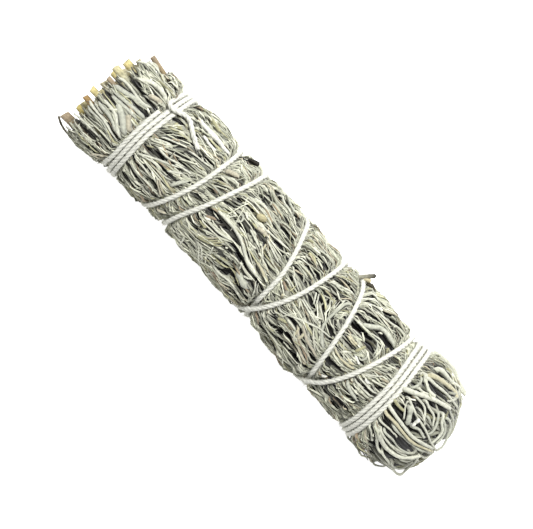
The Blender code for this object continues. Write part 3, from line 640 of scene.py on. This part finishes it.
def leaf_tint(count, stations, corners, shade):
    """Each leaf takes one of the tints, a brightness of its own and a slow change along it, and has painted
    shade on its edges and underneath."""
    pick = leaf_rng.choice(len(LEAF_TINTS), count, p=LEAF_TINTS[:, 0] / LEAF_TINTS[:, 0].sum())
    colour = LEAF_TINTS[pick, 1:][:, None, None] * evenly(*shade, (count, 1, 1, 1))
    t = np.linspace(-0.5, 0.5, stations)[None, :, None, None]
    colour = colour * (1 + normal(0, 0.22, (count, 1, 1, 1)) * t)
    # painted shade: the edge corners and the underside are darker, the top corners a little lighter
    around = np.array((0.78, 1.06, 1.06, 0.78, 0.55) if corners == 5 else np.ones(corners))
    return np.clip(colour * around[:, None], 0, 0.9)


def layer(
    count, first, last, depths, lengths, widths, slants, shade,
    curls=(-0.7, 0.25), tilt=18, stations=8, keep_off=0.2,
):
    """One layer of leaves, as the points of its strips and their tints. keep_off is how near a leaf may come
    to a gap, as a share of its width. Below nothing it lets leaves pass under the gaps."""
    width = evenly(*widths, (count, 1))
    lines, width = clear_lines(width, first, last, depths, lengths, slants, keep_off)
    s, angle, depth, own_depth = stationed(*lines, stations)
    one = width.shape
    thickness = evenly(0.25, 0.45, one) * np.minimum(width, 1.0) ** 0.5 * np.ones_like(s)
    curl = evenly(*curls, one) * np.ones_like(s)
    roll = normal(0, tilt, one) + normal(0, tilt, one) * np.linspace(-1, 1, stations)[None]
    # painted shade: the tints darken with each leaf's own depth, less so towards the cut end
    tint = painted_depth_shade(leaf_tint(len(s), stations, 5, shade), own_depth * np.clip((s + 49.5) / 5, 0.3, 1))
    return strips(laid(s, angle, depth), width, thickness, curl, roll), tint


def twigs(path, radius, shade, corners=6):
    """Thin round twigs along each path, a little uneven and thinner towards their far end."""
    count, stations = path.shape[:2]
    _, across, out = crosswise(path, outward_of(path))
    t = np.linspace(0, 1, stations)[None]
    size = radius * (1.05 - 0.3 * t) * (1 + normal(0, 0.07, (count, stations)))
    grid = path[:, :, None] + size[..., None, None] * ring_round(corners, across, out)
    grid[..., 2] = np.maximum(grid[..., 2], 0.015)
    return grid, leaf_tint(count, stations, corners, shade)


def core():
    """The dark inside, painted near black as the shade between the leaves: one closed tube whose radius is the
    outline less a depth that follows the furrows, lumps and a finer ripple, drawn in at both ends."""
    s = np.linspace(-45.2, 52.5, 260)[:, None]
    angle = np.arange(0, 360, 4.0)[None]
    s, angle = np.broadcast_arrays(s, angle)
    ripple = 0.25 * np.sin(1.9 * s + 3 * np.radians(angle)) * np.sin(7 * np.radians(angle) - 0.8 * s)
    depth = 2.3 + 0.6 * furrow(s, angle) + lumps(s, angle) + ripple
    depth = depth + 7.5 * np.clip((-43.2 - s) / 2.0, 0, 1) ** 2
    return laid(s, angle, depth)[None]


# painted shade: the inside is near black so that the gaps between the leaves look dark
INSIDE_SHADE_TINT = (0.014, 0.012, 0.007)
felt = fibrous("grey_green_leaf", 0.88, 0.25, 3.0, 0.30, 0.6)


def leaf_piece(name, grid, tint):
    """A piece of the leaf bunch."""
    piece(name, mesh_of_tubes(name, grid, tint), felt, "leaf", "leaf_bunch")


leaf_piece("leaf_inside", core(), INSIDE_SHADE_TINT)

for name, *laying in (
    # name, count, first and last s, depths, lengths, widths, slants, shade, curls, tilt, stations, keep_off
    # painted shade: the lower and middle layers take low shades so the gaps between the outer leaves look dark,
    # partly also for the older leaves inside
    ("leaf_lower_layer", 1150, -47.8, 51, (1.2, 1.9), (8, 20), (0.7, 1.4), (6, 12, 24), (0.03, 0.3),
     (-0.7, 0.25), 18, 8, -9),
    ("leaf_middle_layer", 1350, -47.9, 41, (0.6, 1.15), (5, 13), (0.35, 0.8), (7, 15, 30), (0.1, 0.72),
     (-0.7, 0.25), 18, 8, -0.5),
    ("leaf_outer_layer", 1900, -47.9, 39, (0.1, 0.65), (4, 12), (0.3, 0.66), (8, 17, 34), (0.72, 1.25)),
    ("leaf_fine_layer", 2200, -47.9, 39.5, (-0.1, 0.45), (3, 9), (0.2, 0.42), (9, 20, 42), (0.75, 1.35)),
    ("leaf_short_layer", 2300, -47.7, 39.5, (-0.12, 0.4), (1.6, 4.2), (0.2, 0.48), (14, 32, 65), (0.6, 1.45),
     (-0.7, 0.25), 28, 6),
    ("leaf_curled_layer", 100, -45, 39, (0.1, 0.6), (4, 9), (1.0, 1.7), (10, 20, 40), (0.7, 1.1), (-1.2, 0.6), 26),
):
    leaf_piece(name, *layer(*laying))

twig_lines, twig_radius = clear_lines(
    evenly(0.11, 0.22, (THIN_TWIGS, 1)), -47.4, 46, (-0.05, 0.5), (9, 26), (7, 14, 24)
)
*twig_lines, own_depth = stationed(*twig_lines, 12)
twig_grid, twig_tint = twigs(laid(*twig_lines), twig_radius, (0.8, 1.25))
# painted shade: the twigs darken with their depth
twig_tint = painted_depth_shade(twig_tint, own_depth)
leaf_piece("leaf_thin_twigs", twig_grid, twig_tint)


def strand_lines():
    """The strands on top, as s, angle and depth at PLACES places of a smooth line through their points, with
    both ends dipping between the leaves."""
    x, y = np.stack([smooth_through(row[2:], PLACES) for row in STRANDS]).transpose(2, 0, 1)
    across = np.clip((y - bunch_middle(x)) / bunch_half_width(x), -0.99, 0.99)
    t = np.linspace(-1, 1, PLACES)[None]
    depth = evenly(-0.15, 0.1, (len(STRANDS), 1)) + 0.55 * np.abs(t) ** 9
    return x, np.degrees(np.arccos(across)), depth


*strand_places, _ = stationed(*strand_lines(), STRAND_STATIONS)
strand_shape = np.ones((len(STRANDS), STRAND_STATIONS))
strand_width = np.array([[1.1 * row[1]] for row in STRANDS])
strand_grid = strips(
    laid(*strand_places), strand_width, 0.42 * strand_width**0.6 * strand_shape, -0.45 * strand_shape,
    normal(0, 9, (len(STRANDS), 1)) * strand_shape,
)
strand_tint = np.array([TINTS[row[0]] for row in STRANDS])[:, None, None]
strand_tint = strand_tint * evenly(0.9, 1.12, (len(STRANDS), STRAND_STATIONS, 1, 1))
# painted shade: darker edges and underside, a little lighter top, as on the other leaves
strand_tint = strand_tint * np.array((0.82, 1.05, 1.05, 0.82, 0.6))[:, None]
leaf_piece("leaf_top_strands", strand_grid, strand_tint)

# The folded end is where the long tops were bent back under the string: springy thin twigs that leave the
# last turns, swing round and run back in, over shorter loops that fill the inside of the end.
FOLDS = in_mm((  # bent twigs, with their tints
    ("pale", 98, 354, 119, 398, 127, 427, 117, 454, 111), ("grey", 31, 348, 119, 365, 127, 382, 125, 395, 118),
    ("olive", 58, 389, 115, 412, 112, 424, 111), ("pale", 88, 376, 103, 411, 105, 440, 109, 457, 109),
    ("straw", 98, 373, 83, 404, 93, 430, 96, 443, 91), ("pale", 58, 369, 73, 392, 77, 422, 81, 457, 79),
    (78, 361, 75, 372, 67, 391, 59, 405, 59), (98, 354, 27, 370, 35, 396, 49, 420, 59, 446, 66),
    ("dark", 31, 443, 69, 455, 72, 466, 69), ("grey", 31, 442, 63, 457, 59, 471, 55),
    ("pale", 49, 370, 31, 399, 33, 413, 27, 424, 12), (49, 398, 41, 413, 37, 432, 33, 445, 18),
    ("grey", 49, 433, 43, 446, 29, 453, 12, 451, 0), ("pale", 58, 441, 49, 454, 35, 467, 25, 471, 10, 470, -6),
    ("grey", 49, 448, 41, 467, 33, 477, 19, 478, 0), (51, 455, 49, 474, 43, 486, 23, 492, 6, 490, -8),
    ("olive", 58, 354, -2, 367, -4, 383, -3), ("pale", 47, 372, 21, 379, 18, 408, 9, 443, 2, 467, -6, 490, -9),
    (35, 375, 19, 377, 8, 395, -14), ("grey", 98, 387, 10, 397, 0, 406, -14),
    ("white", 68, 416, 6, 416, -2, 416, -10), ("grey", 58, 416, -12, 432, -6, 451, -10),
    ("pale", 68, 360, -18, 399, -23, 432, -25, 457, -19, 480, -12),
    ("straw", 58, 362, -31, 389, -31, 438, -33, 467, -23, 484, -16),
    ("grey", 58, 390, -37, 413, -39, 460, -33, 475, -25), ("pale", 43, 365, -49, 400, -47, 449, -49),
    ("grey", 49, 387, -57, 414, -57, 434, -59, 455, -53), ("pale", 49, 381, -61, 411, -67, 440, -65, 457, -59),
    (78, 378, -65, 402, -75, 422, -77, 447, -71, 465, -55, 474, -39), ("grey", 49, 451, -71, 466, -65, 472, -51),
    ("pale", 51, 415, -87, 443, -93, 474, -99, 485, -93, 485, -79, 479, -55, 470, -39),
    ("grey", 39, 449, -91, 468, -89, 475, -79, 475, -59), ("pale", 39, 361, -71, 373, -77, 388, -87),
    (58, 368, -61, 389, -77, 405, -89, 419, -89), ("tan", 58, 368, -87, 387, -99, 406, -111, 429, -117),
    ("grey", 49, 423, -115, 433, -107, 446, -99), (39, 429, -117, 446, -111, 450, -101),
    (39, 353, -117, 374, -121, 397, -117), ("brown", 58, 360, -103, 376, -107, 393, -113),
    (39, 365, -113, 380, -111, 394, -109), ("grey", 58, 362, 39, 367, 51, 362, 65),
    ("pale", 49, 371, 47, 382, 49, 394, 53), (39, 401, 21, 416, 18, 432, 8),
    ("grey", 58, 424, 23, 438, 19, 451, 16),
))

LOOPS = 300


def over_top(x, y):
    """The height of the folded end's skin over these places."""
    reach = bunch_half_width(x) * np.interp(x, (38.0, 46.0, 50.5), (0.97, 0.86, 0.62))
    beside = np.clip(np.abs(y - bunch_middle(x)) / reach, 0, 1)
    return AXIS_HEIGHT + SQUASH * reach * np.sqrt(1 - beside**2)


def fold_paths():
    """Each fold as 26 places on a smooth line through its bends, on the skin or a little under it, with a root
    inside the bunch at the start and, unless it ends in the open, at the far end."""
    paths = []
    for _, _, *bends in FOLDS:
        x, y = np.array(bends).T
        bent = np.stack([x, y, over_top(x, y) + evenly(-0.35, 0.35)], -1)
        inner = np.stack([bent[:, 0] - 2.6, bunch_middle(bent[:, 0]), 0 * x + AXIS_HEIGHT], -1)
        sunk = bent + 4.2 * unit(inner - bent)
        route = [sunk[0], *bent] + ([sunk[-1]] if x[-1] < 43.8 else [])
        paths.append(smooth_through(route, 26))
    return np.stack(paths)


def loop_paths(count):
    """Loops over the end: s rises and falls with the sine of the way along while the angle swings across with
    its cosine, at a depth of its own, which is larger on top, under the folds."""
    t = np.linspace(0, 1, 16)[None]
    one = (count, 1)
    root = evenly(36.5, 41.0, one)
    middle = evenly(0, 360, one)
    upper = np.clip(np.sin(np.radians(middle)), 0, 1) ** 0.5
    far = evenly(45.0, 53.6, one) - 1.5 * np.cos(np.radians(middle))
    swing = evenly(6, 50, one) * leaf_rng.choice([-1, 1], one)
    s = root + (far - root) * np.sin(np.pi * t) ** evenly(0.5, 0.9, one)
    angle = middle - swing * np.cos(np.pi * t)
    depth = evenly(0.2, 3.0, one) + 0.9 * upper + 1.4 * np.abs(2 * t - 1) ** 4
    return laid(s, angle, depth + 0.6 * furrow(s, angle) * (s < 38)), depth


fold_radius = np.array([[0.58 * fold[1]] for fold in FOLDS])
fold_grid, fold_tint = twigs(fold_paths(), fold_radius, (0.9, 1.1), 8)
unevenness = fold_tint / fold_tint.mean((1, 2), keepdims=True)
fold_tint = np.array([TINTS[fold[0]] for fold in FOLDS])[:, None, None] * unevenness
leaf_piece("leaf_folds", fold_grid, fold_tint)
loop_path, loop_depth = loop_paths(LOOPS)
loop_grid, loop_tint = twigs(loop_path, evenly(0.17, 0.4, (LOOPS, 1)), (0.7, 1.15))
# painted shade: loops deeper in the end, and those on top under the folds, are darker
loop_tint = painted_depth_shade(loop_tint, loop_depth, 1.1, 0.33, 0.1)
leaf_piece("leaf_loops", loop_grid, loop_tint)

# The cut end shows the stalks and leaf ends that run through the bunch. Each was cut square or at a slant,
# some longer than others, and the stalks have pale, dry pith inside a thin dark bark.
STEMS = (  # end x, y, height over the axis, diameter, lean in y, lean down, length, slot
    (-49.0, 3.9, 8.0, 1.6, -0.02, 0.05, 14.0, "stem_straw"),
    (-48.7, 6.2, 6.0, 1.8, -0.03, 0.02, 13.0, "stem_yellow"),
    (-48.4, 1.5, 8.9, 1.0, -0.03, 0.01, 10.0, "stem_brown"),
    (-48.8, 0.2, 6.4, 1.6, 0.03, 0.04, 15.0, "stem_tan"),
    (-49.1, -2.3, 8.2, 1.4, 0.02, 0.03, 13.0, "stem_yellow"),
    (-49.1, -4.3, 6.7, 1.2, -0.04, 0.05, 12.0, "stem_ochre"),
    (-48.5, -6.7, 7.0, 1.2, -0.03, 0.06, 8.2, "stem_olive"),
    (-49.8, -9.8, 2.6, 1.9, 0.08, 0.03, 9.6, "stem_brown"),
    (-46.4, 10.9, 1.5, 1.2, -0.16, 0.0, 6.0, "stem_brown"),
    (-48.9, -5.2, 1.6, 2.2, 0.03, 0.0, 16.0, "stem_straw"),
    (-49.3, 3.2, 2.2, 2.0, -0.02, 0.02, 16.0, "stem_yellow"),
    (-48.8, -0.8, -3.0, 2.3, 0.02, 0.03, 17.0, "stem_straw"),
    (-49.2, 4.9, -4.0, 1.8, 0.03, -0.03, 13.0, "stem_tan"),
)
STALK_TINTS = {  # of the pith and of the bark
    "stem_straw": ((0.55, 0.50, 0.29), (0.33, 0.33, 0.25)),
    "stem_yellow": ((0.58, 0.50, 0.23), (0.46, 0.42, 0.26)),
    "stem_brown": ((0.34, 0.27, 0.18), (0.27, 0.21, 0.12)),
    "stem_tan": ((0.50, 0.46, 0.31), (0.42, 0.39, 0.28)),
    "stem_ochre": ((0.34, 0.22, 0.09), (0.35, 0.27, 0.15)),
    "stem_olive": ((0.40, 0.33, 0.12), (0.38, 0.33, 0.14)),
}
CUT_STALKS = 110
CUT_LEAVES = 260
stem_rng = np.random.default_rng(21)


def stem_mesh(name, row):
    """A stalk: a round section with a few ridges carried along a straight line. At the cut its rings close
    in over the pith on a slanted plane, and the pith sinks a little below the bark."""
    x, y, z, diameter, lean_y, lean_z, length, slot = row
    inward = unit(np.array((1.0, lean_y, -lean_z)))
    across = unit(np.cross((0.0, 0.0, 1.0), inward))
    out = np.cross(inward, across)
    turn = 2 * np.pi * np.arange(18) / 18
    shares = np.concatenate([(0.05, 0.35, 0.7, 0.9, 1.0), np.full(16, 1.0)])
    places = np.concatenate([(0.10, 0.09, 0.05, 0.0, 0.02), 0.15 + np.linspace(0, 1, 16) ** 1.3 * (length - 0.2)])
    ridges = 1 + 0.06 * np.sin(3 * turn + x) + 0.03 * np.sin(7 * turn) + stem_rng.normal(0, 0.012, (21, 18))
    radius = diameter / 2 * shares[:, None] * ridges * (1 - 0.12 * places / length)[:, None]
    ring = np.cos(turn)[:, None] * across + np.sin(turn)[:, None] * out
    slant = 0.28 * np.cos(turn - 1.3 * y) * radius * np.exp(-places / 1.2)[:, None]
    end = np.array((x, y, AXIS_HEIGHT + z))
    grid = end + (places[:, None] + slant)[..., None] * inward + radius[..., None] * ring
    pith, bark = np.array(STALK_TINTS[slot])
    share = np.clip((places - 0.8) / 3.2, 0, 1)[:, None, None]
    tint = (pith * (1 - share) + bark * share) * np.ones((21, 18, 3))
    tint[3] = 0.45 * bark
    tint[6:] *= stem_rng.uniform(0.75, 1.15, (15, 1, 1))
    return mesh_of_tubes(name, grid[None], tint[None])


bark_finishes = {}
for number, row in enumerate(STEMS):
    name, slot = f"stem_{number + 1:02d}", row[-1]
    if slot not in bark_finishes:
        bark_finishes[slot] = fibrous(slot + "_bark", 0.8, 0.05, 6.0, 0.35, 0.7)
    piece(name + "_cut", stem_mesh(name, row), bark_finishes[slot], slot, name)


def cut_end_paths(count):
    """Stalks and leaves inside the cut end: straight lines spread evenly over the round of the bunch, which
    start at uneven places and run a little askew into it."""
    one = (count, 1)
    reach = 10.6 * np.sqrt(evenly(0, 1, one))
    turn = evenly(0, 2 * np.pi, one)
    start = evenly(-47.8, -45.0, one)
    t = np.linspace(0, 1, 8)[None]
    x = start + (evenly(7, 11, one)) * t
    y = reach * np.cos(turn) * (1 - 0.07 * t) + normal(0, 0.5, one) * t
    z = AXIS_HEIGHT + SQUASH * reach * np.sin(turn) * (1 - 0.07 * t) + normal(0, 0.5, one) * t
    return np.stack([x, y, np.maximum(z, 0.6)], -1)[(y[:, 0] < 8.9) | (x[:, 0] > -42)]


stalk_paths = cut_end_paths(CUT_STALKS)
stalk_radius = evenly(0.3, 0.7, (len(stalk_paths), 1))
stalk_grid, stalk_tint = twigs(stalk_paths, stalk_radius, (0.35, 0.9), 8)
stalk_tint[:, 0] = np.array(STALK_TINTS["stem_straw"][0]) * evenly(0.5, 0.95, (len(stalk_paths), 1, 1))
leaf_piece("leaf_cut_stalks", stalk_grid, stalk_tint)
end_paths = cut_end_paths(CUT_LEAVES)
end_shape = np.ones(end_paths.shape[:2])
end_width = evenly(0.7, 1.7, (len(end_paths), 1))
end_roll = evenly(-180, 180, end_width.shape) * end_shape
end_grid = strips(end_paths, end_width, 0.35 * end_shape, -0.4 * end_shape, end_roll)
leaf_piece("leaf_cut_leaves", end_grid, leaf_tint(len(end_paths), 8, 5, (0.3, 0.9)))

BUTT_TWIG = (  # x, y, height over the axis
    (-50.6, -10.9, 0.4), (-48.8, -11.7, 0.2), (-46.6, -11.9, 0.0), (-44.0, -11.0, 0.0), (-41.6, -8.8, 0.0),
)
lone_path = smooth_through(BUTT_TWIG, 20)[None] + (0.0, 0.0, AXIS_HEIGHT)
lone_grid, _ = twigs(lone_path, 0.24, (1, 1), 8)
lone_tint = np.linspace(0.5, 1.0, 20)[None, :, None, None] * np.array((0.22, 0.20, 0.14))
leaf_piece("leaf_lone_twig", lone_grid, lone_tint)

# Small bits stand out of the leaves: a dark pointed seed under the first open turn, an ochre bud on top, and
# the stub of a side twig with a dark tip, beside a pale scale and a dark one. Each is pushed in between the
# leaves.
BITS = (  # name, node, slot, then points on its line, radii there and tints of its two ends
    ("seed_dry", "seed", "seed",
     ((-18.6, 11.0, 12.1), (-17.3, 11.5, 12.4), (-16.1, 11.8, 12.4)), (0.1, 0.42, 0.52),
     ((0.02, 0.017, 0.012), (0.02, 0.017, 0.012))),
    ("bud_dry", "bud", "bud",
     ((-8.9, 4.6, 21.2), (-8.0, 4.9, 21.3), (-6.8, 5.2, 21.0)), (0.35, 0.7, 0.4),
     ((0.46, 0.42, 0.25), (0.38, 0.34, 0.20))),
    ("twig_stub_dry", "twig_stub", "twig",
     ((12.9, 10.0, 12.6), (14.6, 12.3, 13.0), (15.9, 13.9, 13.4)), (0.45, 0.45, 0.42),
     ((0.32, 0.31, 0.24), (0.03, 0.026, 0.02))),
    ("leaf_pale_scale", "leaf_bunch", "leaf",
     ((14.0, 11.4, 12.4), (15.0, 12.1, 12.7), (16.1, 12.2, 12.6)), (0.35, 0.6, 0.3),
     ((0.55, 0.50, 0.33), (0.50, 0.44, 0.27))),
    ("leaf_dark_scale", "leaf_bunch", "leaf",
     ((15.7, 11.4, 12.0), (16.8, 11.9, 12.2), (18.2, 11.6, 12.0)), (0.3, 0.42, 0.15),
     ((0.05, 0.045, 0.03), (0.06, 0.05, 0.03))),
)


def bit_grid(points, radii):
    """A small solid of revolution along its line, whose radius goes smoothly through the given radii and
    closes at both ends, with a low ripple round it."""
    line = smooth_through(np.column_stack([points, radii]), 15)
    path, radius = line[None, :, :3], line[None, :, 3].copy()
    radius[:, [0, -1]] *= 0.35
    _, across, out = crosswise(path, outward_of(path))
    turn = 2 * np.pi * np.arange(12) / 12
    ripple = 1 + 0.08 * np.sin(4 * turn + 1.0) + stem_rng.normal(0, 0.03, (15, 12))
    return path[:, :, None] + (radius[..., None] * ripple)[..., None] * ring_round(12, across, out)


for name, node, slot, points, radii, tints in BITS:
    finish = fibrous(name + "_skin", 0.65, 0.0, 5.0, 0.35, 0.7)
    toward = np.linspace(0, 1, 15)[None, :, None, None] ** 2
    tint = (1 - toward) * np.array(tints[0]) + toward * np.array(tints[1])
    piece(name, mesh_of_tubes(name, bit_grid(points, radii), tint), finish, slot, node)

# The table is plain white, and the light is a wide soft panel overhead, set towards the bunch's +y side,
# with an even white surround. The camera looks straight down from 380 mm above the bunch's axis.
TABLE_HALF = 1500.0
TABLE_GLOW = 0.75
PANEL_SIZE = (0.26, 0.2)  # this and the place in metres
PANEL_PLACE = (-0.05, 0.28, 0.55)
PANEL_LEAN = -27
PANEL_WATTS = 5.4
SURROUND_STRENGTH = 0.42
CAMERA_HEIGHT = 380.0
CAMERA_OVER = (-0.59, -0.56)
CAMERA_TURN = 47.2105
IMAGE_WIDTH_AT_AXIS = 106.6

table_mesh = bpy.data.meshes.new("table")
corners = [(TABLE_HALF * MM * x, TABLE_HALF * MM * y, 0) for x, y in ((-1, -1), (1, -1), (1, 1), (-1, 1))]
table_mesh.from_pydata(corners, [], [(0, 1, 2, 3)])
table = bpy.data.objects.new("table", table_mesh)
bpy.context.scene.collection.objects.link(table)
white = bpy.data.materials.new("white_table")
table_mesh.materials.append(white)

panel = bpy.data.objects.new("panel_light", bpy.data.lights.new("panel_light", "AREA"))
panel.data.shape = "RECTANGLE"
panel.data.size, panel.data.size_y = PANEL_SIZE
panel.data.energy = PANEL_WATTS
panel.location = PANEL_PLACE
panel.rotation_euler = (math.radians(PANEL_LEAN), 0, 0)

surround = bpy.data.worlds.new("surround")
bpy.context.scene.world = surround
bpy.context.scene.view_settings.view_transform = "Standard"
for holder, node, settings in (
    (white, "Principled BSDF", (
        ("Base Color", (0.9, 0.9, 0.9, 1)), ("Roughness", 0.9),
        ("Emission Color", (1, 1, 1, 1)), ("Emission Strength", TABLE_GLOW),
    )),
    (surround, "Background", (("Color", (1, 1, 1, 1)), ("Strength", SURROUND_STRENGTH))),
):
    holder.use_nodes = True
    for socket, value in settings:
        holder.node_tree.nodes[node].inputs[socket].default_value = value

camera = bpy.data.objects.new("camera", bpy.data.cameras.new("camera"))
camera.data.sensor_width = 36.0
camera.data.lens = 36.0 * CAMERA_HEIGHT / IMAGE_WIDTH_AT_AXIS
camera.data.clip_start = 0.01
camera.data.clip_end = 20.0
camera.location = [
    MM * (over + shift) for over, shift in zip((*CAMERA_OVER, AXIS_HEIGHT + CAMERA_HEIGHT), FRAME_SHIFT)
]
camera.rotation_euler = (0, 0, math.radians(CAMERA_TURN))
for thing in (panel, camera):
    bpy.context.scene.collection.objects.link(thing)
bpy.context.scene.camera = camera
